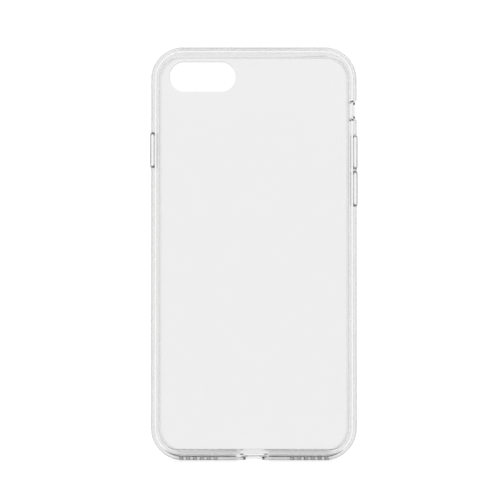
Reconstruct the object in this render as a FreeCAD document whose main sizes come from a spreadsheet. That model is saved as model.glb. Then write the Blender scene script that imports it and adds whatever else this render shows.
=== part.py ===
"""Clear push-on case for a 4.7-inch phone.

The case lies on its front lip. X runs across its width, +Y points to the camera end and +Z points out
of the back face. The origin is at the middle of the footprint, on the plane that the lip rests on.
Lengths are in millimetres.

A hard plate is bonded into a stepped seat in the back of a soft frame. The frame takes the phone from
the front, behind a raised lip. Three button covers stand in windows in the side walls, each joined to
its window by a thin flexing web.
"""

import FreeCAD
import Part
import Sketcher

import math
import os

from FreeCAD import Vector


# Every size that can be set by itself. The sheet holds these values under the same names.
SIZES = {
    # the phone that the case holds
    "phone_width": 67.3,
    "phone_length": 138.4,
    "phone_thickness": 7.3,
    "phone_corner": 9.4,
    # room round the phone, at its edges and at its back
    "edge_gap": 0.1,
    "back_gap": 0.1,
    # walls of the frame
    "side_wall": 1.55,
    "end_wall": 1.45,
    "lip_height": 0.9,
    "side_lip_overlap": 0.9,
    "end_lip_overlap": 1.3,
    "lip_bevel": 0.2,
    # rounding of the frame, outside and inside
    "back_rounding": 2.65,
    "front_rounding": 1.8,
    "cavity_back_rounding": 1.5,
    "cavity_front_rounding": 1.8,
    # back plate: the frame's visible band beside it, its two layers and the seam between the two
    "side_band": 2.85,
    "end_band": 3.8,
    "plate_corner": 6.8,
    "plate_outer_layer": 0.6,
    "plate_inner_layer": 0.6,
    "plate_step": 0.3,
    "seam_bevel": 0.15,
    # camera opening, placed from the phone's camera end and its left edge seen from the back
    "camera_length": 22.4,
    "camera_height": 10.05,
    "camera_corner": 4.8,
    "camera_from_end": 8.85,
    "camera_from_edge": 16.1,
    "camera_bevel": 0.35,
    "camera_inner_bevel": 0.2,
    # button covers, placed along the phone from its camera end
    "power_length": 11.8,
    "power_from_end": 33.7,
    "volume_up_length": 11.4,
    "volume_up_from_end": 34.35,
    "volume_down_length": 11.8,
    "volume_down_from_end": 46.95,
    "pad_height": 3.2,
    "pad_proud": 0.35,
    "pad_recess": 0.5,
    "pad_rounding": 0.3,
    # web round each cover: its width, its thickness and its depth below the wall's outer face
    "web_width": 0.35,
    "web_thickness": 0.4,
    "web_depth": 0.55,
    # mute-switch opening in the side wall, in a shallow recess with sloping ends
    "switch_length": 5.6,
    "switch_height": 5.9,
    "switch_corner": 2.0,
    "switch_from_end": 20.2,
    "switch_flare": 0.7,
    # charging-port opening in the bottom wall, with a flare on the outside
    "port_length": 7.5,
    "port_height": 6.2,
    "port_corner": 2.4,
    "port_flare": 1.0,
    # two rows of sound holes in the bottom wall
    "sound_hole_diameter": 1.4,
    "sound_hole_pitch": 2.35,
    "sound_holes_in_row": 6,
    "sound_row_centre": 19.0,
    # how far a cutting outline stands off the face that it cuts
    "cutter_reach": 0.5,
}

# Sizes worked out from the sheet.
CAVITY_WIDTH = "(sizes.phone_width + 2 * sizes.edge_gap)"
CAVITY_LENGTH = "(sizes.phone_length + 2 * sizes.edge_gap)"
CAVITY_CORNER = "(sizes.phone_corner + sizes.edge_gap)"
CEILING = "(sizes.lip_height + sizes.phone_thickness + sizes.back_gap)"
OUTER_WIDTH = f"({CAVITY_WIDTH} + 2 * sizes.side_wall)"
OUTER_LENGTH = f"({CAVITY_LENGTH} + 2 * sizes.end_wall)"
OUTER_CORNER = f"({CAVITY_CORNER} + (sizes.side_wall + sizes.end_wall) / 2)"
STEP_LEVEL = f"({CEILING} + sizes.plate_inner_layer)"
TOP = f"({STEP_LEVEL} + sizes.plate_outer_layer)"
PLATE_WIDTH = f"({OUTER_WIDTH} - 2 * sizes.side_band)"
PLATE_LENGTH = f"({OUTER_LENGTH} - 2 * sizes.end_band)"
INNER_PLATE_WIDTH = f"({PLATE_WIDTH} - 2 * sizes.plate_step)"
INNER_PLATE_LENGTH = f"({PLATE_LENGTH} - 2 * sizes.plate_step)"
INNER_PLATE_CORNER = "(sizes.plate_corner - sizes.plate_step)"
HALF_WIDTH = f"({OUTER_WIDTH} / 2)"
HALF_LENGTH = f"({OUTER_LENGTH} / 2)"
MID_HEIGHT = "(sizes.lip_height + sizes.phone_thickness / 2)"
HALF_PHONE = "(sizes.phone_length / 2)"

# Each cover: the name its sizes start with, and the side of the case that it is on.
COVERS = {"power": -1, "volume_up": 1, "volume_down": 1}

QUARTER_TURN = math.pi / 2
TOLERANCE = 1e-4


def make_sheet(document):
    """Fill a spreadsheet with the sizes, one row each, and give each cell its size's name."""
    sheet = document.addObject("Spreadsheet::Sheet", "sizes")
    for row, (name, value) in enumerate(SIZES.items(), start=1):
        sheet.set(f"A{row}", name)
        sheet.set(f"B{row}", str(value))
        sheet.setAlias(f"B{row}", name)
    document.recompute()
    return sheet


def make_body(document, name):
    """Return a new body whose label is the sub-part's name."""
    body = document.addObject("PartDesign::Body", name)
    body.Label = name
    return body


def value_of(body, expression):
    """Return an expression's present value as a plain number."""
    return float(body.evalExpression(expression))


def make_sketch(body, name, role, offset):
    """Return a sketch on one of the body's own planes, moved along the plane's normal by offset."""
    sketch = body.newObject("Sketcher::SketchObject", name)
    plane = next(feature for feature in body.Origin.OriginFeatures if feature.Role == role)
    sketch.AttachmentSupport = [(plane, "")]
    sketch.MapMode = "FlatFace"
    sketch.setExpression("AttachmentOffset.Base.z", offset)
    return sketch


def bind(sketch, kind, places, expression):
    """Add a dimension to a sketch and bind its value to an expression."""
    index = sketch.addConstraint(Sketcher.Constraint(kind, *places, value_of(sketch, expression)))
    sketch.setExpression(f"Constraints[{index}]", expression)


def draw_rounded_rectangle(sketch, width, height, corner, across="0", up="0"):
    """Draw a rectangle with round corners, centred on (across, up), and bind all its sizes."""
    half_width = value_of(sketch, width) / 2
    half_height = value_of(sketch, height) / 2
    radius = value_of(sketch, corner)
    centre = Vector(value_of(sketch, across), value_of(sketch, up), 0)
    # Quadrants in anticlockwise order from the upper right one.
    signs = [(1, 1), (-1, 1), (-1, -1), (1, -1)]
    arcs = []
    for quadrant, (right, above) in enumerate(signs):
        middle = centre + Vector(right * (half_width - radius), above * (half_height - radius), 0)
        start = quadrant * QUARTER_TURN
        circle = Part.Circle(middle, Vector(0, 0, 1), radius)
        arcs.append(sketch.addGeometry(Part.ArcOfCircle(circle, start, start + QUARTER_TURN)))
    lines = []
    for quadrant, arc in enumerate(arcs):
        following = arcs[(quadrant + 1) % 4]
        begin = sketch.getPoint(arc, 2)
        end = sketch.getPoint(following, 1)
        line = sketch.addGeometry(Part.LineSegment(begin, end))
        lines.append(line)
        sketch.addConstraint(Sketcher.Constraint("Tangent", arc, 2, line, 1))
        sketch.addConstraint(Sketcher.Constraint("Tangent", line, 2, following, 1))
        sketch.addConstraint(Sketcher.Constraint("Vertical" if quadrant % 2 else "Horizontal", line))
    top_line, left_line, bottom_line, right_line = lines
    for arc in arcs[1:]:
        sketch.addConstraint(Sketcher.Constraint("Equal", arcs[0], arc))
    bind(sketch, "Radius", (arcs[0],), corner)
    bind(sketch, "DistanceX", (-1, 1, left_line, 1), f"{across} - {width} / 2")
    bind(sketch, "DistanceX", (-1, 1, right_line, 1), f"{across} + {width} / 2")
    bind(sketch, "DistanceY", (-1, 1, bottom_line, 1), f"{up} - {height} / 2")
    bind(sketch, "DistanceY", (-1, 1, top_line, 1), f"{up} + {height} / 2")


def draw_slot(sketch, length, height, across, up):
    """Draw a slot with full round ends, lying across the sketch and centred on (across, up)."""
    radius = value_of(sketch, height) / 2
    reach = value_of(sketch, length) / 2 - radius
    centre = Vector(value_of(sketch, across), value_of(sketch, up), 0)
    right_circle = Part.Circle(centre + Vector(reach, 0, 0), Vector(0, 0, 1), radius)
    left_circle = Part.Circle(centre - Vector(reach, 0, 0), Vector(0, 0, 1), radius)
    right_arc = sketch.addGeometry(Part.ArcOfCircle(right_circle, -QUARTER_TURN, QUARTER_TURN))
    left_arc = sketch.addGeometry(Part.ArcOfCircle(left_circle, QUARTER_TURN, 3 * QUARTER_TURN))
    for first, second in ((right_arc, left_arc), (left_arc, right_arc)):
        line = sketch.addGeometry(Part.LineSegment(sketch.getPoint(first, 2), sketch.getPoint(second, 1)))
        sketch.addConstraint(Sketcher.Constraint("Tangent", first, 2, line, 1))
        sketch.addConstraint(Sketcher.Constraint("Tangent", line, 2, second, 1))
        sketch.addConstraint(Sketcher.Constraint("Horizontal", line))
    bind(sketch, "Radius", (right_arc,), f"{height} / 2")
    bind(sketch, "DistanceX", (-1, 1, left_arc, 3), f"{across} - ({length} - {height}) / 2")
    bind(sketch, "DistanceX", (-1, 1, right_arc, 3), f"{across} + ({length} - {height}) / 2")
    bind(sketch, "DistanceY", (-1, 1, right_arc, 3), up)


def pad(body, name, sketch, length, backwards=False):
    """Raise a sketch into a solid along its normal, or against it."""
    feature = body.newObject("PartDesign::Pad", name)
    feature.Profile = sketch
    feature.setExpression("Length", length)
    feature.Reversed = backwards
    body.Document.recompute()
    return feature


def require_cut(feature, volume_before):
    """Stop if a cutting feature has removed nothing."""
    if feature.Shape.Volume > volume_before - TOLERANCE:
        raise RuntimeError(f"{feature.Name} cuts nothing")


def pocket(body, name, sketch, depth, along_normal=False):
    """Cut a sketch into the body against its normal, or along it."""
    volume_before = body.Tip.Shape.Volume
    feature = body.newObject("PartDesign::Pocket", name)
    feature.Profile = sketch
    feature.setExpression("Length", depth)
    feature.Reversed = along_normal
    body.Document.recompute()
    require_cut(feature, volume_before)
    return feature


def cut_flare(body, name, outside, inside):
    """Cut the tapered space between a large outline outside a wall and a smaller one within it."""
    volume_before = body.Tip.Shape.Volume
    feature = body.newObject("PartDesign::SubtractiveLoft", name)
    feature.Profile = outside
    feature.Sections = [inside]
    feature.Ruled = True
    body.Document.recompute()
    require_cut(feature, volume_before)
    return feature


def edges_in_box(feature, low, high):
    """Name a feature's edges that lie wholly between two corners, within a small tolerance."""
    space = FreeCAD.BoundBox(Vector(*low), Vector(*high))
    space.enlarge(TOLERANCE)
    names = []
    for index, edge in enumerate(feature.Shape.Edges, start=1):
        ends_inside = space.isInside(edge.BoundBox)
        if ends_inside:
            names.append(f"Edge{index}")
    return names


def dress_edges(body, kind, name, edge_names, size):
    """Round or bevel edges of the body's last feature, by one size."""
    if not edge_names:
        raise RuntimeError(f"{name} finds no edges")
    base = body.Tip
    feature = body.newObject(f"PartDesign::{kind}", name)
    feature.Base = (base, edge_names)
    feature.setExpression("Radius" if kind == "Fillet" else "Size", size)
    body.Document.recompute()
    return feature


def dress_flat_rim(body, kind, name, width, length, level, size):
    """Round or bevel the rims at one height that lie within a centred width and length."""
    half_width = value_of(body, width) / 2
    half_length = value_of(body, length) / 2
    height = value_of(body, level)
    low = (-half_width, -half_length, height)
    high = (half_width, half_length, height)
    return dress_edges(body, kind, name, edges_in_box(body.Tip, low, high), size)


def make_phone_space(document):
    """Make the space that the phone fills: a cutting body, not a sub-part."""
    body = make_body(document, "phone_space")
    outline = make_sketch(body, "phone_outline", "XY_Plane", "sizes.lip_height")
    draw_rounded_rectangle(outline, CAVITY_WIDTH, CAVITY_LENGTH, CAVITY_CORNER)
    pad(body, "phone_block", outline, f"{CEILING} - sizes.lip_height")
    rims = (
        ("phone_back_edge", CEILING, "sizes.cavity_back_rounding"),
        ("phone_front_edge", "sizes.lip_height", "sizes.cavity_front_rounding"),
    )
    for name, level, rounding in rims:
        dress_flat_rim(body, "Fillet", name, CAVITY_WIDTH, CAVITY_LENGTH, level, rounding)
    return body


def make_frame_block(body):
    """Raise the frame's outline and round its back and front edges."""
    outline = make_sketch(body, "frame_outline", "XY_Plane", "0")
    draw_rounded_rectangle(outline, OUTER_WIDTH, OUTER_LENGTH, OUTER_CORNER)
    pad(body, "frame_block", outline, TOP)
    rims = (
        ("frame_back_edge", TOP, "sizes.back_rounding"),
        ("frame_front_edge", "0", "sizes.front_rounding"),
    )
    for name, level, rounding in rims:
        dress_flat_rim(body, "Fillet", name, OUTER_WIDTH, OUTER_LENGTH, level, rounding)


def hollow_frame(body, phone_space):
    """Take the phone's space out of the frame, then open the front and the seat for the plate."""
    volume_before = body.Tip.Shape.Volume
    cavity = body.newObject("PartDesign::Boolean", "frame_cavity")
    cavity.Type = "Cut"
    cavity.setObjects([phone_space])
    body.Document.recompute()
    require_cut(cavity, volume_before)

    aperture_width = "(sizes.phone_width - 2 * sizes.side_lip_overlap)"
    aperture_length = "(sizes.phone_length - 2 * sizes.end_lip_overlap)"
    aperture_corner = "(sizes.phone_corner - (sizes.side_lip_overlap + sizes.end_lip_overlap) / 2)"
    aperture = make_sketch(body, "front_aperture_outline", "XY_Plane", "sizes.lip_height")
    draw_rounded_rectangle(aperture, aperture_width, aperture_length, aperture_corner)
    pocket(body, "front_aperture", aperture, "sizes.lip_height")
    dress_flat_rim(
        body, "Chamfer", "lip_bevel", aperture_width, aperture_length, "0", "sizes.lip_bevel"
    )

    seat = make_sketch(body, "plate_seat_outline", "XY_Plane", TOP)
    draw_rounded_rectangle(seat, PLATE_WIDTH, PLATE_LENGTH, "sizes.plate_corner")
    pocket(body, "plate_seat", seat, "sizes.plate_outer_layer")
    opening = make_sketch(body, "plate_opening_outline", "XY_Plane", STEP_LEVEL)
    draw_rounded_rectangle(opening, INNER_PLATE_WIDTH, INNER_PLATE_LENGTH, INNER_PLATE_CORNER)
    pocket(body, "plate_opening", opening, "sizes.plate_inner_layer")
    dress_flat_rim(
        body, "Chamfer", "frame_seam_bevel", PLATE_WIDTH, PLATE_LENGTH, TOP, "sizes.seam_bevel"
    )


def cut_flared_opening(body, name, role, wall_face, along, up, prefix, flare_height=None):
    """Cut an opening through a wall that faces along its plane's normal, wider on the outside.

    The sizes' names start with prefix. The flare is a bevel at 45 degrees, as deep as it is wide. A
    flare_height past both edges of the wall turns the flare into a recess with sloping ends.
    """
    length = f"sizes.{prefix}_length"
    height = f"sizes.{prefix}_height"
    corner = f"sizes.{prefix}_corner"
    flare = f"sizes.{prefix}_flare"
    spread = f"({flare} + sizes.cutter_reach)"
    through = make_sketch(body, f"{name}_outline", role, f"{wall_face} + sizes.cutter_reach")
    draw_rounded_rectangle(through, length, height, corner, along, up)
    pocket(body, name, through, "(sizes.cutter_reach * 2 + sizes.side_wall + sizes.end_wall)")
    outside = make_sketch(body, f"{name}_flare_outside", role, f"{wall_face} + sizes.cutter_reach")
    draw_rounded_rectangle(
        outside,
        f"({length} + 2 * {spread})",
        flare_height or f"({height} + 2 * {spread})",
        f"({corner} + {spread})",
        along,
        up,
    )
    inside = make_sketch(body, f"{name}_flare_inside", role, f"{wall_face} - {flare}")
    draw_rounded_rectangle(inside, length, flare_height or height, corner, along, up)
    cut_flare(body, f"{name}_flare", outside, inside)


def cut_sound_holes(body):
    """Cut a row of round holes through the bottom wall on each side of the port."""
    for side, word in ((-1, "left"), (1, "right")):
        first = (
            f"({side} * sizes.sound_row_centre"
            " - (sizes.sound_holes_in_row - 1) * sizes.sound_hole_pitch / 2)"
        )
        outline = make_sketch(body, f"{word}_sound_hole_outline", "XZ_Plane", HALF_LENGTH)
        hole = outline.addGeometry(
            Part.Circle(
                Vector(value_of(body, first), value_of(body, MID_HEIGHT), 0),
                Vector(0, 0, 1),
                value_of(body, "sizes.sound_hole_diameter") / 2,
            )
        )
        bind(outline, "Radius", (hole,), "sizes.sound_hole_diameter / 2")
        bind(outline, "DistanceX", (-1, 1, hole, 3), first)
        bind(outline, "DistanceY", (-1, 1, hole, 3), MID_HEIGHT)
        first_hole = pocket(body, f"{word}_sound_hole", outline, "sizes.end_wall + sizes.cutter_reach")
        volume_before = first_hole.Shape.Volume
        row = body.newObject("PartDesign::LinearPattern", f"{word}_sound_row")
        row.Originals = [first_hole]
        row.Direction = (outline, ["H_Axis"])
        row.Mode = "Spacing"
        row.setExpression("Offset", "sizes.sound_hole_pitch")
        row.setExpression("Occurrences", "sizes.sound_holes_in_row")
        body.Tip = row
        body.Document.recompute()
        require_cut(row, volume_before)


def cover_place(prefix):
    """Return a cover's place along the case, from the sizes whose names start with prefix."""
    return f"({HALF_PHONE} - sizes.{prefix}_from_end)"


def cut_button_windows(body):
    """Cut a slot through the side wall round each button cover and its web."""
    for prefix, side in COVERS.items():
        window = make_sketch(
            body, f"{prefix}_window_outline", "YZ_Plane", f"{side} * ({HALF_WIDTH} + sizes.cutter_reach)"
        )
        draw_slot(
            window,
            f"(sizes.{prefix}_length + 2 * sizes.web_width)",
            "(sizes.pad_height + 2 * sizes.web_width)",
            cover_place(prefix),
            MID_HEIGHT,
        )
        depth = "(2 * sizes.cutter_reach + sizes.side_wall)"
        pocket(body, f"{prefix}_window", window, depth, along_normal=side < 0)


def make_bumper_frame(document):
    """Make the soft frame: walls, front lip, plate seat and every opening in the walls."""
    phone_space = make_phone_space(document)
    body = make_body(document, "bumper_frame")
    make_frame_block(body)
    hollow_frame(body, phone_space)
    switch_place = f"({HALF_PHONE} - sizes.switch_from_end)"
    past_both_edges = f"(2 * {TOP})"
    cut_flared_opening(
        body, "switch_opening", "YZ_Plane", HALF_WIDTH, switch_place, MID_HEIGHT, "switch", past_both_edges
    )
    cut_flared_opening(body, "port_opening", "XZ_Plane", HALF_LENGTH, "0", MID_HEIGHT, "port")
    cut_sound_holes(body)
    cut_button_windows(body)
    return body


def make_back_panel(document):
    """Make the hard plate: a wide outer layer on a narrower inner one, with the camera opening."""
    body = make_body(document, "back_panel")
    inner = make_sketch(body, "inner_layer_outline", "XY_Plane", CEILING)
    draw_rounded_rectangle(inner, INNER_PLATE_WIDTH, INNER_PLATE_LENGTH, INNER_PLATE_CORNER)
    pad(body, "inner_layer", inner, "sizes.plate_inner_layer")
    outer = make_sketch(body, "outer_layer_outline", "XY_Plane", STEP_LEVEL)
    draw_rounded_rectangle(outer, PLATE_WIDTH, PLATE_LENGTH, "sizes.plate_corner")
    pad(body, "outer_layer", outer, "sizes.plate_outer_layer")
    dress_flat_rim(
        body, "Chamfer", "plate_seam_bevel", PLATE_WIDTH, PLATE_LENGTH, TOP, "sizes.seam_bevel"
    )

    across = "(sizes.camera_from_edge - sizes.phone_width / 2)"
    up = f"({HALF_PHONE} - sizes.camera_from_end)"
    camera = make_sketch(body, "camera_outline", "XY_Plane", TOP)
    draw_rounded_rectangle(
        camera, "sizes.camera_length", "sizes.camera_height", "sizes.camera_corner", across, up
    )
    pocket(body, "camera_opening", camera, f"{TOP} - {CEILING}")
    middle = Vector(value_of(body, across), value_of(body, up), 0)
    reach = Vector(value_of(body, "sizes.camera_length"), value_of(body, "sizes.camera_height"), 0) / 2
    rims = (
        ("camera_bevel", TOP, "sizes.camera_bevel"),
        ("camera_inner_bevel", CEILING, "sizes.camera_inner_bevel"),
    )
    for name, level, bevel in rims:
        height = Vector(0, 0, value_of(body, level))
        edges = edges_in_box(body.Tip, middle - reach + height, middle + reach + height)
        dress_edges(body, "Chamfer", name, edges, bevel)
    return body


def make_button(document, prefix, side):
    """Make one cover: a slot-shaped pad that stands proud of the wall, with a rounded outer edge."""
    body = make_body(document, f"{prefix}_button")
    inner_face = f"({HALF_WIDTH} - sizes.side_wall + sizes.pad_recess)"
    outer_face = f"({HALF_WIDTH} + sizes.pad_proud)"
    outline = make_sketch(body, f"{prefix}_pad_outline", "YZ_Plane", f"{side} * {inner_face}")
    place = cover_place(prefix)
    draw_slot(outline, f"sizes.{prefix}_length", "sizes.pad_height", place, MID_HEIGHT)
    pad(body, f"{prefix}_pad", outline, f"{outer_face} - {inner_face}", backwards=side < 0)
    level = side * value_of(body, outer_face)
    middle = Vector(level, value_of(body, place), value_of(body, MID_HEIGHT))
    reach = Vector(0, value_of(body, f"sizes.{prefix}_length"), value_of(body, "sizes.pad_height")) / 2
    edges = edges_in_box(body.Tip, middle - reach, middle + reach)
    dress_edges(body, "Fillet", f"{prefix}_pad_rounding", edges, "sizes.pad_rounding")
    return body


def make_web(document, prefix, side):
    """Make the thin skin that fills the gap between one cover and its window."""
    body = make_body(document, f"{prefix}_button_web")
    outer_face = f"({HALF_WIDTH} - sizes.web_depth)"
    place = cover_place(prefix)
    ring = make_sketch(body, f"{prefix}_web_outline", "YZ_Plane", f"{side} * {outer_face}")
    for margin in ("0", "2 * sizes.web_width"):
        length = f"(sizes.{prefix}_length + {margin})"
        height = f"(sizes.pad_height + {margin})"
        draw_slot(ring, length, height, place, MID_HEIGHT)
    pad(body, f"{prefix}_web", ring, "sizes.web_thickness", backwards=side > 0)
    return body


def check_document(document):
    """Stop if any object of the document has failed."""
    for item in document.Objects:
        if "Invalid" in item.State or "Error" in item.State:
            raise RuntimeError(f"{item.Label} failed: {item.State}")


def export(sub_parts):
    """Check each sub-part's shape, then write one file for each, named by its label."""
    for body in sub_parts:
        shape = body.Shape
        if shape.isNull() or not shape.isValid() or len(shape.Solids) != 1:
            raise RuntimeError(f"{body.Label} isn't one valid solid")
    os.makedirs("parts", exist_ok=True)
    for body in sub_parts:
        body.Shape.exportStep(f"parts/{body.Label}.step")
        box = body.Shape.BoundBox
        print(
            f"{body.Label}: {body.Shape.Volume:.1f} mm3, "
            f"x {box.XMin:.2f} to {box.XMax:.2f}, y {box.YMin:.2f} to {box.YMax:.2f}, "
            f"z {box.ZMin:.2f} to {box.ZMax:.2f}"
        )


def main():
    """Build the case and write its sub-parts."""
    document = FreeCAD.newDocument("phone_case")
    make_sheet(document)
    sub_parts = [make_bumper_frame(document), make_back_panel(document)]
    for prefix, side in COVERS.items():
        sub_parts.append(make_button(document, prefix, side))
        sub_parts.append(make_web(document, prefix, side))
    document.recompute()
    check_document(document)
    export(sub_parts)


main()
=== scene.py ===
"""Looks of a clear push-on phone case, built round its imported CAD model.

The case lies on its front lip on a lit white table, back face up. The soft frame is the CAD solid
itself. The hard back plate, the three button covers and their flexing webs are finer meshes that
stand in for their CAD solids. Lengths in the classes are millimetres, turned to metres where a mesh
is made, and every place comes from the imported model.
"""

from __future__ import annotations

import logging
import math
from dataclasses import dataclass, replace
from enum import Enum
from typing import Any, Sequence

import bpy
import numpy as np
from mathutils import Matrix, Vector

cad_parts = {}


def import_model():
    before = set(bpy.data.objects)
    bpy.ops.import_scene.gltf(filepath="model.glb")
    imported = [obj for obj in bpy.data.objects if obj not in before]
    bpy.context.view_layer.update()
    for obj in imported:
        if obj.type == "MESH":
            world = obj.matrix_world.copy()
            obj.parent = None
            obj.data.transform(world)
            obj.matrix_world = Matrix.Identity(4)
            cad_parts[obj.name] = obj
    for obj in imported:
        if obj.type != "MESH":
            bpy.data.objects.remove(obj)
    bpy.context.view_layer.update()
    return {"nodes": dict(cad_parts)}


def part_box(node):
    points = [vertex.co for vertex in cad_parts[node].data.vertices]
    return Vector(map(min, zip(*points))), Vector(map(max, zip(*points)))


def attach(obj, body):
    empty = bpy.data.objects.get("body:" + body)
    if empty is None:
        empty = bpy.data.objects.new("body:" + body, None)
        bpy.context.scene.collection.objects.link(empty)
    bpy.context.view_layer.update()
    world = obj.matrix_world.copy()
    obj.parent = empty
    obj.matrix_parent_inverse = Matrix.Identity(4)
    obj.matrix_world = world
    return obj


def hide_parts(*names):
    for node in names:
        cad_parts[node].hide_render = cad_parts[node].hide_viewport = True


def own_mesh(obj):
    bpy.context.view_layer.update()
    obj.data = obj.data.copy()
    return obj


LOG = logging.getLogger("phone_case")
MM = 0.001
SMOOTH_ANGLE = math.radians(28.0)
# Steps round a quarter circle or a slot's half circle, seen from the back or the side.
CURVE_STEPS = 24
# Distance between points along the straight sides of the plate and of the covers.
PLATE_SPACING = 1.2
COVER_SPACING = 0.4


class Side(Enum):
    """The side wall that a cover stands in, as the sign of X."""

    LEFT = -1
    RIGHT = 1


def linear_colour(code: str) -> tuple[float, float, float, float]:
    """Turn an sRGB hex colour into linear light.

    Args:
        code: Six hex digits after a hash sign.

    Returns:
        Red, green, blue and an alpha of one.
    """
    channels = (int(code[place : place + 2], 16) / 255.0 for place in (1, 3, 5))
    red, green, blue = (
        value / 12.92 if value <= 0.04045 else ((value + 0.055) / 1.055) ** 2.4 for value in channels
    )
    return red, green, blue, 1.0


def add_node(
    tree: bpy.types.NodeTree,
    kind: str,
    settings: dict[str, Any] | None = None,
    values: dict[str | int, Any] | None = None,
    links: dict[str | int, bpy.types.NodeSocket] | None = None,
) -> bpy.types.Node:
    """Add one node to a tree.

    Args:
        tree: The node tree.
        kind: The node's type name.
        settings: Properties of the node itself.
        values: Plain values for its inputs.
        links: Output sockets that feed its inputs.

    Returns:
        The new node.
    """
    node = tree.nodes.new(kind)
    for name, value in (settings or {}).items():
        setattr(node, name, value)
    for name, value in (values or {}).items():
        node.inputs[name].default_value = value
    for name, socket in (links or {}).items():
        tree.links.new(socket, node.inputs[name])
    return node


# Outlines and meshes


@dataclass(frozen=True)
class Outline:
    """A closed convex outline in a plane, anticlockwise, with its outward directions.

    Attributes:
        points: Places along the outline, one row each.
        outward: Unit directions away from the outline, one row each.
    """

    points: np.ndarray
    outward: np.ndarray

    def inset(self, distance: float) -> np.ndarray:
        """Return the outline's points moved inwards by a distance."""
        return self.points - self.outward * distance

    def moved(self, across: float, up: float) -> Outline:
        """Return the same outline about another centre."""
        return Outline(self.points + np.array([across, up]), self.outward)


def rounded_outline(
    width: float, height: float, corner: float, per_corner: int, spacing: float
) -> Outline:
    """Work out a rectangle with round corners, centred on the origin.

    Each corner is a quarter circle of even steps, and each side has points at about even spacing.

    Args:
        width: Full width.
        height: Full height.
        corner: Radius of the corners.
        per_corner: Steps in each quarter circle.
        spacing: Distance between points along a side.

    Returns:
        The outline, from the right side's lower end round.
    """
    reach = np.array([width / 2 - corner, height / 2 - corner])
    points, outward = [], []
    for quadrant, sign in enumerate(((1, 1), (-1, 1), (-1, -1), (1, -1))):
        angle = (quadrant + np.linspace(0.0, 1.0, per_corner + 1)) * math.pi / 2
        directions = np.stack([np.cos(angle), np.sin(angle)], 1)
        arc = reach * sign + corner * directions
        side = 2 * (reach[0] if quadrant % 2 == 0 else reach[1])
        steps = max(2, int(round(side / spacing)))
        share = np.linspace(0.0, 1.0, steps + 1)[1:-1, None]
        travel = np.array([[-1.0, 0.0], [0.0, -1.0], [1.0, 0.0], [0.0, 1.0]])[quadrant]
        points += [arc, arc[-1] + share * side * travel]
        outward += [directions, np.repeat(directions[-1:], len(share), 0)]
    return Outline(np.concatenate(points), np.concatenate(outward))


def slot_outline(length: float, height: float, per_end: int, spacing: float) -> Outline:
    """Work out a slot with full round ends, lying across and centred on the origin.

    Each end is a half circle of even steps, and the two are joined by straight sides.

    Args:
        length: Full length.
        height: Full height, which is twice the radius of the ends.
        per_end: Steps in each half circle.
        spacing: Distance between points along a side.

    Returns:
        The outline, from the right end's lower side round.
    """
    radius = height / 2
    reach = length / 2 - radius
    points, outward = [], []
    steps = max(2, int(round(2 * reach / spacing)))
    share = np.linspace(0.0, 1.0, steps + 1)[1:-1, None]
    for end in (1, -1):
        angle = np.linspace(-0.5, 0.5, per_end + 1) * math.pi + (0.0 if end == 1 else math.pi)
        directions = np.stack([np.cos(angle), np.sin(angle)], 1)
        arc = np.array([end * reach, 0.0]) + radius * directions
        points += [arc, arc[-1] - share * np.array([2 * reach * end, 0.0])]
        outward += [directions, np.repeat(directions[-1:], len(share), 0)]
    return Outline(np.concatenate(points), np.concatenate(outward))


def quarter_round(radius: float, steps: int) -> tuple[np.ndarray, np.ndarray]:
    """Work out a quarter circle from a flat face down to a side.

    Args:
        radius: The quarter circle's radius.
        steps: Even steps along it.

    Returns:
        Insets from the side, falling from radius to nought, and depths below the face, rising from
        nought to radius.
    """
    angle = np.linspace(0.0, math.pi / 2, steps + 1)
    return radius * (1 - np.sin(angle)), radius * (1 - np.cos(angle))


def ray_places(
    points: np.ndarray, centre: np.ndarray, angles: np.ndarray
) -> tuple[np.ndarray, np.ndarray]:
    """Find where rays from a centre cross a convex outline.

    A ray at an angle crosses the stretch between the two points whose own angles bracket it. Along
    that stretch it crosses at the share where the cross product with the ray's direction is nought.

    Args:
        points: The outline's points, anticlockwise round the centre.
        centre: The point that the rays leave.
        angles: The rays' angles, rising within one turn.

    Returns:
        For each ray, the index of the point before the crossing, and the share of the way to the next.
    """
    arms = points - centre
    own = np.unwrap(np.arctan2(arms[:, 1], arms[:, 0]))
    turned = own[0] + np.mod(angles - own[0], 2 * math.pi)
    before = np.searchsorted(own, turned, side="right") - 1
    after = (before + 1) % len(points)
    ray = np.stack([np.cos(angles), np.sin(angles)], 1)
    cross_before = arms[before, 0] * ray[:, 1] - arms[before, 1] * ray[:, 0]
    cross_after = arms[after, 0] * ray[:, 1] - arms[after, 1] * ray[:, 0]
    return before, cross_before / (cross_before - cross_after)


def along(points: np.ndarray, places: tuple[np.ndarray, np.ndarray]) -> np.ndarray:
    """Read an outline's points at places given by an index and a share of the way to the next."""
    before, share = places
    after = (before + 1) % len(points)
    return points[before] * (1 - share[:, None]) + points[after] * share[:, None]


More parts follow.
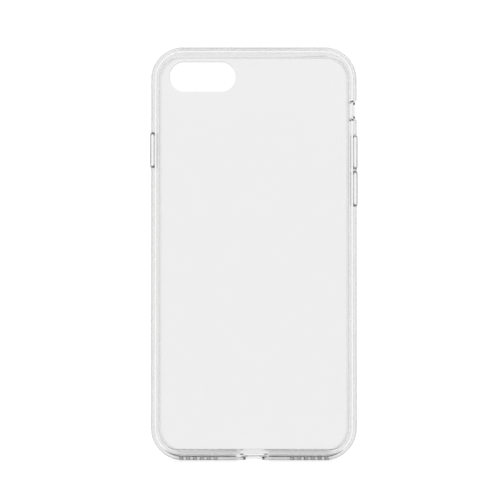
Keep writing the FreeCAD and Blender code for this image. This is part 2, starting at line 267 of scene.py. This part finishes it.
def mesh_from_rings(
    name: str, rings: np.ndarray, closed: bool, caps: bool = False
) -> bpy.types.Object:
    """Join rings of points into a smooth mesh with creases where its faces turn sharply.

    Ring i, point j joins ring i + 1, point j. Each ring is closed on itself.

    Args:
        name: Name of the piece.
        rings: Points in millimetres, as an array of rings by points by three.
        closed: Join the last ring to the first one.
        caps: Fill the first and the last ring with one flat face each.

    Returns:
        The piece, at the origin, with its place in its mesh.
    """
    ring_count, point_count, _ = rings.shape
    last = ring_count if closed else ring_count - 1
    row = np.arange(last)[:, None]
    column = np.arange(point_count)[None, :]
    next_row = (row + 1) % ring_count
    next_column = (column + 1) % point_count
    quads = np.stack(
        [
            row * point_count + column,
            row * point_count + next_column,
            next_row * point_count + next_column,
            next_row * point_count + column,
        ],
        -1,
    ).reshape(-1, 4)
    faces: list[Sequence[int]] = quads.tolist()
    if caps:
        faces.append(list(range(point_count))[::-1])
        faces.append(list(range((ring_count - 1) * point_count, ring_count * point_count)))
    mesh = bpy.data.meshes.new(name)
    mesh.from_pydata((rings.reshape(-1, 3) * MM).tolist(), [], faces)
    mesh.polygons.foreach_set("use_smooth", np.ones(len(mesh.polygons), bool))
    mesh.set_sharp_from_angle(angle=SMOOTH_ANGLE)
    mesh.validate()
    mesh.update()
    piece = bpy.data.objects.new(name, mesh)
    bpy.context.scene.collection.objects.link(piece)
    return piece


def dress(piece: bpy.types.Object, material: bpy.types.Material) -> None:
    """Give a piece one material in place of any that it has."""
    piece.data.materials.clear()
    piece.data.materials.append(material)


# Finishes


@dataclass(frozen=True)
class ClearPlastic:
    """A clear moulded plastic.

    Attributes:
        name: Its name, from its common name and how its surface was made.
        tint: Colour that light takes on passing in and out, as sRGB hex.
        ior: Index of refraction.
        roughness: Mean roughness of its surface.
        roughness_spread: How far the roughness wanders either way.
        body_colour: Colour of the light left after a long way through it, as sRGB hex.
        body_density: How fast it takes light away, per metre.
        ripple_mm: Distance between the slow swells of a moulded surface.
        ripple_height_mm: Height of those swells.
        grain_mm: Distance between the fine marks of the mould's polish, which are finer on a real mould
            and are drawn as coarse as they need to be to show.
        grain_height_mm: Height of those marks.
    """

    name: str
    tint: str
    ior: float
    roughness: float
    roughness_spread: float
    body_colour: str
    body_density: float
    ripple_mm: float
    ripple_height_mm: float
    grain_mm: float
    grain_height_mm: float

    def build(self) -> bpy.types.Material:
        """Make the material.

        Returns:
            A material with clear surface, slow swells, fine mould marks and an absorbing body.
        """
        material = bpy.data.materials.new(self.name)
        material.use_nodes = True
        tree = material.node_tree
        tree.nodes.clear()
        place = add_node(tree, "ShaderNodeTexCoord").outputs["Object"]
        ripple = add_node(
            tree,
            "ShaderNodeTexNoise",
            values={"Scale": 1.0 / (self.ripple_mm * MM), "Detail": 1.0, "Roughness": 0.4},
            links={"Vector": place},
        )
        grain = add_node(
            tree,
            "ShaderNodeTexNoise",
            values={"Scale": 1.0 / (self.grain_mm * MM), "Detail": 2.0, "Roughness": 0.5},
            links={"Vector": place},
        )
        spread = add_node(
            tree,
            "ShaderNodeMapRange",
            values={
                "From Min": 0.3,
                "From Max": 0.7,
                "To Min": max(0.0, self.roughness - self.roughness_spread),
                "To Max": self.roughness + self.roughness_spread,
            },
            links={"Value": grain.outputs["Fac"]},
        )
        swell = add_node(
            tree,
            "ShaderNodeBump",
            values={"Strength": 1.0, "Distance": self.ripple_height_mm * MM},
            links={"Height": ripple.outputs["Fac"]},
        )
        marks = add_node(
            tree,
            "ShaderNodeBump",
            values={"Strength": 1.0, "Distance": self.grain_height_mm * MM},
            links={"Height": grain.outputs["Fac"], "Normal": swell.outputs["Normal"]},
        )
        shader = add_node(
            tree,
            "ShaderNodeBsdfPrincipled",
            values={
                "Base Color": linear_colour(self.tint),
                "IOR": self.ior,
                "Transmission Weight": 1.0,
            },
            links={"Roughness": spread.outputs["Result"], "Normal": marks.outputs["Normal"]},
        )
        body = add_node(
            tree,
            "ShaderNodeVolumeAbsorption",
            values={"Color": linear_colour(self.body_colour), "Density": self.body_density},
        )
        add_node(
            tree,
            "ShaderNodeOutputMaterial",
            links={"Surface": shader.outputs["BSDF"], "Volume": body.outputs["Volume"]},
        )
        return material


# Polycarbonate sheet, moulded against a polished tool: very flat and sharp, with a faint grey cast.
POLISHED_POLYCARBONATE = ClearPlastic(
    name="polished_clear_polycarbonate",
    tint="#F0F0F0",
    ior=1.585,
    roughness=0.01,
    roughness_spread=0.005,
    body_colour="#808080",
    body_density=60.0,
    ripple_mm=30.0,
    ripple_height_mm=0.006,
    grain_mm=1.5,
    grain_height_mm=0.0001,
)

# Thermoplastic polyurethane, injection moulded: soft and slightly uneven, with a gentle, duller shine.
MOULDED_POLYURETHANE = ClearPlastic(
    name="moulded_clear_polyurethane",
    tint="#F3F3F3",
    ior=1.5,
    roughness=0.1,
    roughness_spread=0.03,
    body_colour="#808080",
    body_density=12.0,
    ripple_mm=9.0,
    ripple_height_mm=0.002,
    grain_mm=0.8,
    grain_height_mm=0.0001,
)

# The same polyurethane with a satin face and a trace of smoke: the covers look greyer than the wall.
SMOKY_POLYURETHANE = replace(
    MOULDED_POLYURETHANE,
    name="satin_smoky_polyurethane",
    roughness=0.3,
    roughness_spread=0.05,
    body_density=300.0,
)


# Sub-assemblies


@dataclass
class BackPlate:
    """The hard plate: a wide outer layer on a narrower inner one, with the camera opening.

    Attributes:
        corner: Radius of the outer layer's corners.
        step: How far the inner layer stands back from the outer one.
        outer_layer: Thickness of the outer layer.
        seam_round: Rounding of the back face's edge, along the seam with the frame.
        rim_round: Rounding of the camera opening at the back face.
        inner_rim_round: Rounding of the camera opening at the inner face.
        camera_width: Width of the camera opening.
        camera_height: Height of the camera opening.
        camera_corner: Radius of the camera opening's corners.
        camera_centre: Its centre, across and along the case.
        bond_line: Gap between the plate and its seat.
        support: Distance of the extra rings that keep the flat faces flat.
    """

    corner: float = 6.8
    step: float = 0.3
    outer_layer: float = 0.6
    seam_round: float = 0.2
    rim_round: float = 0.35
    inner_rim_round: float = 0.2
    camera_width: float = 22.4
    camera_height: float = 10.05
    camera_corner: float = 4.8
    camera_centre: tuple[float, float] = (-17.55, 60.35)
    bond_line: float = 0.02
    support: float = 0.03

    def edge_profile(self, thickness: float) -> list[tuple[float, float]]:
        """Work out the plate's outer edge, from its top face to its bottom face.

        Args:
            thickness: The plate's full thickness.

        Returns:
            Pairs of inset from the outline and depth below the top face.
        """
        insets, depths = quarter_round(self.seam_round, 5)
        profile = [(self.seam_round + self.support, 0.0)]
        profile += list(zip(insets, depths))
        under = self.outer_layer - self.bond_line
        inner = self.step + self.bond_line
        profile += [(0.0, under - self.support), (0.0, under), (self.support, under)]
        profile += [(inner - self.support, under), (inner, under), (inner, under + self.support)]
        profile += [(inner, thickness - self.support), (inner, thickness)]
        profile += [(inner + self.support, thickness)]
        return profile

    def hole_profile(self, thickness: float) -> list[tuple[float, float]]:
        """Work out the camera opening's wall, from the bottom face to the top face.

        Args:
            thickness: The plate's full thickness.

        Returns:
            Pairs of inset into the opening, negative outside it, and depth below the top face.
        """
        lower_insets, lower_depths = quarter_round(self.inner_rim_round, 4)
        upper_insets, upper_depths = quarter_round(self.rim_round, 6)
        profile = [(-self.inner_rim_round - self.support, thickness)]
        profile += list(zip(-lower_insets, thickness - lower_depths))
        profile += list(zip(-upper_insets[::-1], upper_depths[::-1]))
        profile += [(-self.rim_round - self.support, 0.0)]
        return profile

    def build(self, material: bpy.types.Material) -> bpy.types.Object:
        """Make the plate as one closed sheet of rings, round its edge and through its opening.

        Every ring is read at the same rays from the opening's centre, so that the flat faces
        between the two outlines are ruled along those rays.

        Args:
            material: The plate's finish.

        Returns:
            The plate.
        """
        low, high = (np.array(corner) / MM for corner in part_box("back_panel"))
        size = high - low
        gap = 2 * self.bond_line
        outer = rounded_outline(
            size[0] - gap, size[1] - gap, self.corner, CURVE_STEPS, PLATE_SPACING
        )
        centre = np.array(self.camera_centre)
        hole = rounded_outline(
            self.camera_width, self.camera_height, self.camera_corner, CURVE_STEPS, PLATE_SPACING
        )
        hole = hole.moved(*centre)
        arms = np.concatenate([outer.points, hole.points]) - centre
        angles = np.unique(np.round(np.mod(np.arctan2(arms[:, 1], arms[:, 0]), 2 * math.pi), 5))
        outer_places = ray_places(outer.points, centre, angles)
        hole_places = ray_places(hole.points, centre, angles)
        level = np.ones(len(angles))
        rings = [
            np.column_stack([along(outline.inset(inset), places), (high[2] - depth) * level])
            for outline, places, profile in (
                (outer, outer_places, self.edge_profile(size[2])),
                (hole, hole_places, self.hole_profile(size[2])),
            )
            for inset, depth in profile
        ]
        plate = mesh_from_rings("back_plate", np.array(rings)[::-1], closed=True)
        dress(plate, material)
        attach(plate, "case")
        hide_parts("back_panel")
        return plate


@dataclass
class ButtonCover:
    """One raised cover pad and the flexing web that carries it.

    Attributes:
        prefix: The cover's name in the frame.
        side: The side wall that it stands in.
        pad_round: Rounding of the pad's outer edge.
        crown: How far the pad's face rises in the middle.
        foot_round: Rounding of the pad's inner edge.
        crown_shares: Rings on the crown, as shares of the way from its edge to its middle line.
        web_inner_depth: Depth of the web's middle surface at the pad, below the wall's outer face.
        web_rise: How much deeper it is at the window's wall.
        web_skin: The web's thickness.
        wall_gap: Gap between the web and what it stands against.
        travel: How far the pad is pressed in; not used.
    """

    prefix: str
    side: Side
    pad_round: float = 0.32
    crown: float = 0.06
    foot_round: float = 0.12
    crown_shares: tuple[float, ...] = (0.12, 0.3, 0.5, 0.7, 0.85, 0.94)
    web_inner_depth: float = 0.52
    web_rise: float = 0.4
    web_skin: float = 0.22
    wall_gap: float = 0.01
    travel: float = 0.3

    def on_wall(self, outline_points: np.ndarray, level: float, centre: np.ndarray) -> np.ndarray:
        """Stand flat outline points on the wall: across becomes Y, up becomes Z, level becomes X."""
        across, up = (outline_points * [self.side.value, 1.0] + centre).T
        return np.column_stack([np.full(len(across), level), across, up])

    def build_pad(self, material: bpy.types.Material) -> bpy.types.Object:
        """Make the pad: a slot-shaped button with a crowned face and rounded edges.

        Each ring is the slot's outline moved inwards, at a depth from a profile. The profile goes from
        the pad's foot up its side, round its edge and over its crown, which falls away as the square
        of the way from the middle line to the edge.

        Args:
            material: The pad's finish.

        Returns:
            The pad.
        """
        low, high = (np.array(corner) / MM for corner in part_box(f"{self.prefix}_button"))
        size = high - low
        outline = slot_outline(size[1], size[2], CURVE_STEPS, COVER_SPACING)
        centre = (low[1:] + high[1:]) / 2
        outer_level = high[0] if self.side is Side.RIGHT else low[0]
        half = size[2] / 2
        foot_insets, foot_depths = quarter_round(self.foot_round, 3)
        profile = [(inset, size[0] - depth) for inset, depth in zip(foot_insets, foot_depths)]
        edge_insets, edge_depths = quarter_round(self.pad_round, 8)
        profile += [
            (inset, self.crown + depth) for inset, depth in zip(edge_insets[::-1], edge_depths[::-1])
        ]
        for share in self.crown_shares:
            inset = self.pad_round + share * (half - self.pad_round)
            profile.append((inset, self.crown * (1 - share) ** 2))
        rings = [
            self.on_wall(outline.inset(inset), outer_level - self.side.value * depth, centre)
            for inset, depth in profile
        ]
        pad = mesh_from_rings(f"{self.prefix}_pad", np.array(rings), closed=False, caps=True)
        dress(pad, material)
        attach(pad, f"{self.prefix}_cover")
        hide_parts(f"{self.prefix}_button")
        return pad

    def build_web(self, material: bpy.types.Material) -> bpy.types.Object:
        """Make the web: a thin skirt that rises from the window's wall to the pad's side.

        Its middle surface climbs by web_rise along half a cosine wave, from the window's wall to the
        pad.

        Args:
            material: The web's finish.

        Returns:
            The web's skirt.
        """
        low, high = (np.array(corner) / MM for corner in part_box(f"{self.prefix}_button_web"))
        pad_low, pad_high = (np.array(corner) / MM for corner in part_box(f"{self.prefix}_button"))
        size = high - low
        width = (size[2] - (pad_high - pad_low)[2]) / 2
        outline = slot_outline(size[1], size[2], CURVE_STEPS, COVER_SPACING)
        centre = (low[1:] + high[1:]) / 2
        wall_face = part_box("bumper_frame")[1][0] / MM * self.side.value
        across = np.linspace(self.wall_gap, width - self.wall_gap, 9)
        climb = (1 - np.cos(np.pi * (across - across[0]) / (across[-1] - across[0]))) / 2
        depth = self.web_inner_depth + self.web_rise * (1 - climb)
        upper = list(zip(across, depth - self.web_skin / 2))
        lower = list(zip(across[::-1], depth[::-1] + self.web_skin / 2))
        rings = [
            self.on_wall(outline.inset(inset), wall_face - self.side.value * level, centre)
            for inset, level in upper + lower
        ]
        web = mesh_from_rings(f"{self.prefix}_web_skirt", np.array(rings), closed=True)
        dress(web, material)
        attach(web, "case")
        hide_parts(f"{self.prefix}_button_web")
        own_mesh(web)
        return web


@dataclass
class Studio:
    """The lit table, the room's light and the camera.

    Attributes:
        table_size: Length of each side of the table.
        table_glow: How brightly the table shines.
        table_colour: Colour of the table's own surface.
        table_roughness: Roughness of that surface.
        contact_shade: Share of the glow that is lost under the bottom wall, as a painted contact
            shadow.
        contact_rows: Places along Y where the loss starts, is full, starts to fade and is gone.
        contact_span: Distances from the middle line where the loss starts beside the port, is full,
            starts to fade before the corner and is gone.
        card_reach: How far to each side the dark cards of painted shade reach.
        card_port_gaps: How far each card stays from the middle line, left and right.
        card_near: The cards' edge nearest to the case, along Y.
        card_far: Their other edge.
        card_height: Their height over the table.
        card_colour: Their colour, the painted shade that the clear bottom wall shows.
        card_roughness: Their roughness.
        zenith_light: Brightness of the room overhead.
        horizon_light: Brightness of the room at the horizon.
        even_from: Height on the unit sphere from which the room is as bright as overhead.
        lamp_direction: Where the soft lamp stands, as X and Y beside a Z of one.
        lamp_spread: Radius of the lamp on the unit sphere.
        lamp_light: Brightness that the lamp adds in its middle.
        light_bounces: How many surfaces light may pass.
        camera_distance: Distance from the camera to what it looks at.
        camera_tilt: The camera's lean towards the bottom end, in degrees.
        view_width: Width of the picture at that distance.
        view_centre: What the camera looks at, from the middle of the frame.
        sensor_width: Width of the camera's sensor.
    """

    table_size: float = 4000.0
    table_glow: float = 1.0
    table_colour: str = "#404040"
    table_roughness: float = 0.8
    contact_shade: float = 0.35
    contact_rows: tuple[float, float, float, float] = (-67.5, -68.5, -69.4, -73.2)
    contact_span: tuple[float, float, float, float] = (3.5, 6.5, 25.0, 30.0)
    card_reach: float = 37.0
    card_port_gaps: tuple[float, float] = (6.1, 5.0)
    card_near: float = -72.6
    card_far: float = -100.0
    card_height: float = 0.02
    # Grey of the hidden cards: painted shade seen through the clear bottom wall.
    card_colour: str = "#5C5C5C"
    card_roughness: float = 0.9
    zenith_light: float = 1.0
    horizon_light: float = 0.75
    even_from: float = 0.6
    lamp_direction: tuple[float, float] = (0.12, 0.18)
    lamp_spread: float = 0.16
    lamp_light: float = 0.4
    light_bounces: int = 32
    camera_distance: float = 700.0
    camera_tilt: float = 1.0
    view_width: float = 171.9
    view_centre: tuple[float, float] = (-1.33, 1.2)
    sensor_width: float = 36.0

    def flat_sheet(
        self, name: str, corners: Sequence[tuple[float, float, float]]
    ) -> bpy.types.Object:
        """Make a single flat face.

        Args:
            name: Name of the piece.
            corners: Its four corners in millimetres, anticlockwise from above.

        Returns:
            The face as a piece.
        """
        mesh = bpy.data.meshes.new(name)
        places = [tuple(MM * value for value in corner) for corner in corners]
        mesh.from_pydata(places, [], [(0, 1, 2, 3)])
        sheet = bpy.data.objects.new(name, mesh)
        bpy.context.scene.collection.objects.link(sheet)
        return sheet

    def painted_contact_shadow(self, tree: bpy.types.NodeTree) -> bpy.types.NodeSocket:
        """Work out how far each place lies in the two painted shadow patches under the bottom wall.

        Args:
            tree: The table's node tree.

        Returns:
            One in the middle of a patch and nought outside, with soft edges.
        """
        place = add_node(tree, "ShaderNodeTexCoord").outputs["Object"]
        parts = add_node(tree, "ShaderNodeSeparateXYZ", links={"Vector": place})
        along_case = parts.outputs["Y"]
        from_middle = add_node(
            tree, "ShaderNodeMath", {"operation": "ABSOLUTE"}, links={0: parts.outputs["X"]}
        ).outputs["Value"]
        inner_start, inner_end, outer_start, outer_end = self.contact_rows
        port_start, port_end, corner_start, corner_end = self.contact_span
        edges = (
            (along_case, inner_start, inner_end),
            (along_case, outer_end, outer_start),
            (from_middle, port_start, port_end),
            (from_middle, corner_end, corner_start),
        )
        patch = None
        for value, outside, inside in edges:
            edge = add_node(
                tree,
                "ShaderNodeMapRange",
                {"interpolation_type": "SMOOTHSTEP"},
                {"From Min": outside * MM, "From Max": inside * MM},
                {"Value": value},
            ).outputs["Result"]
            if patch is None:
                patch = edge
            else:
                patch = add_node(
                    tree, "ShaderNodeMath", {"operation": "MULTIPLY"}, links={0: patch, 1: edge}
                ).outputs["Value"]
        return patch

    def build_table(self) -> bpy.types.Object:
        """Make the white table, lit from below so that it stays bright under clear plastic.

        Its glow dips a little where the bottom wall stands on it: a painted contact shadow.

        Returns:
            The table.
        """
        half = self.table_size / 2
        corners = [(x * half, y * half, 0.0) for x, y in ((-1, -1), (1, -1), (1, 1), (-1, 1))]
        table = self.flat_sheet("table", corners)
        material = bpy.data.materials.new("lit_opal_acrylic_painted_shadow")
        material.use_nodes = True
        tree = material.node_tree
        tree.nodes.clear()
        # The glow dips here in a painted contact shadow under the bottom wall.
        glow = add_node(
            tree,
            "ShaderNodeMapRange",
            values={"To Min": self.table_glow, "To Max": self.table_glow * (1 - self.contact_shade)},
            links={"Value": self.painted_contact_shadow(tree)},
        ).outputs["Result"]
        shader = add_node(
            tree,
            "ShaderNodeBsdfPrincipled",
            values={
                "Base Color": linear_colour(self.table_colour),
                "Roughness": self.table_roughness,
                "Emission Color": linear_colour("#FFFFFF"),
            },
            links={"Emission Strength": glow},
        )
        add_node(tree, "ShaderNodeOutputMaterial", links={"Surface": shader.outputs["BSDF"]})
        dress(table, material)
        return table

    def build_painted_shade_cards(self) -> None:
        """Lay two dark cards past the bottom wall, one on each side of the port, as painted shade.

        They are hidden from the camera itself, so they only darken what the clear wall shows.
        """
        material = bpy.data.materials.new("painted_shade_black_card")
        material.use_nodes = True
        shader = material.node_tree.nodes["Principled BSDF"]
        shader.inputs["Base Color"].default_value = linear_colour(self.card_colour)
        shader.inputs["Roughness"].default_value = self.card_roughness
        for side, port_gap in zip(Side, self.card_port_gaps):
            ends = sorted((side.value * port_gap, side.value * self.card_reach))
            corners = [
                (ends[0], self.card_far, self.card_height),
                (ends[1], self.card_far, self.card_height),
                (ends[1], self.card_near, self.card_height),
                (ends[0], self.card_near, self.card_height),
            ]
            card = self.flat_sheet(f"edge_card_{side.name.lower()}", corners)
            card.visible_camera = False
            dress(card, material)

    def build_room(self) -> None:
        """Light the room softly, dimmer towards the horizon, with one soft lamp near the zenith."""
        scene = bpy.context.scene
        world = bpy.data.worlds.new("soft_room")
        scene.world = world
        world.use_nodes = True
        tree = world.node_tree
        tree.nodes.clear()
        place = add_node(tree, "ShaderNodeTexCoord").outputs["Generated"]
        parts = add_node(tree, "ShaderNodeSeparateXYZ", links={"Vector": place})
        strength = add_node(
            tree,
            "ShaderNodeMapRange",
            values={
                "From Min": 0.0,
                "From Max": self.even_from,
                "To Min": self.horizon_light,
                "To Max": self.zenith_light,
            },
            links={"Value": parts.outputs["Z"]},
        )
        from_lamp = add_node(
            tree,
            "ShaderNodeVectorMath",
            {"operation": "DISTANCE"},
            {1: (*self.lamp_direction, 1.0)},
            {0: place},
        ).outputs["Value"]
        lamp = add_node(
            tree,
            "ShaderNodeMapRange",
            {"interpolation_type": "SMOOTHSTEP"},
            {"From Min": self.lamp_spread, "From Max": 0.0, "To Max": self.lamp_light},
            {"Value": from_lamp},
        ).outputs["Result"]
        total = add_node(
            tree, "ShaderNodeMath", links={0: strength.outputs["Result"], 1: lamp}
        ).outputs["Value"]
        light = add_node(
            tree,
            "ShaderNodeBackground",
            values={"Color": linear_colour("#FFFFFF")},
            links={"Strength": total},
        )
        add_node(tree, "ShaderNodeOutputWorld", links={"Surface": light.outputs["Background"]})
        scene.view_settings.view_transform = "Standard"
        scene.cycles.max_bounces = self.light_bounces
        scene.cycles.transmission_bounces = self.light_bounces

    def build_camera(self) -> bpy.types.Object:
        """Stand the camera over the back face, leaning slightly towards the bottom end.

        Returns:
            The camera.
        """
        middle = (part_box("bumper_frame")[0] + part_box("bumper_frame")[1]) / 2
        target = middle + Vector((self.view_centre[0], self.view_centre[1], 0.0)) * MM
        lean = math.radians(self.camera_tilt)
        towards = Vector((0.0, -math.sin(lean), math.cos(lean)))
        data = bpy.data.cameras.new("camera")
        data.sensor_width = self.sensor_width
        data.lens = self.sensor_width * self.camera_distance / self.view_width
        data.clip_start = 0.01
        data.clip_end = 10.0
        camera = bpy.data.objects.new("camera", data)
        bpy.context.scene.collection.objects.link(camera)
        camera.location = target + towards * self.camera_distance * MM
        camera.rotation_mode = "QUATERNION"
        camera.rotation_quaternion = (-towards).to_track_quat("-Z", "Y")
        bpy.context.scene.camera = camera
        return camera

    def build(self) -> None:
        """Set up the table, the cards, the room and the camera."""
        self.build_table()
        self.build_painted_shade_cards()
        self.build_room()
        self.build_camera()


def main() -> None:
    """Build the case's looks and report each piece."""
    logging.basicConfig(level=logging.INFO, format="%(name)s: %(message)s")
    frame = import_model()
    polycarbonate = POLISHED_POLYCARBONATE.build()
    polyurethane = MOULDED_POLYURETHANE.build()
    smoky_polyurethane = SMOKY_POLYURETHANE.build()

    dress(frame["nodes"]["bumper_frame"], polyurethane)
    LOG.info("bumper frame dressed in %s", polyurethane.name)
    pieces = [BackPlate().build(polycarbonate)]
    covers = (("power", Side.LEFT), ("volume_up", Side.RIGHT), ("volume_down", Side.RIGHT))
    for prefix, side in covers:
        cover = ButtonCover(prefix=prefix, side=side)
        pieces.append(cover.build_pad(smoky_polyurethane))
        pieces.append(cover.build_web(polyurethane))
    for piece in pieces:
        LOG.info("%s: %d faces", piece.name, len(piece.data.polygons))
    Studio().build()


if __name__ == "__main__":
    main()
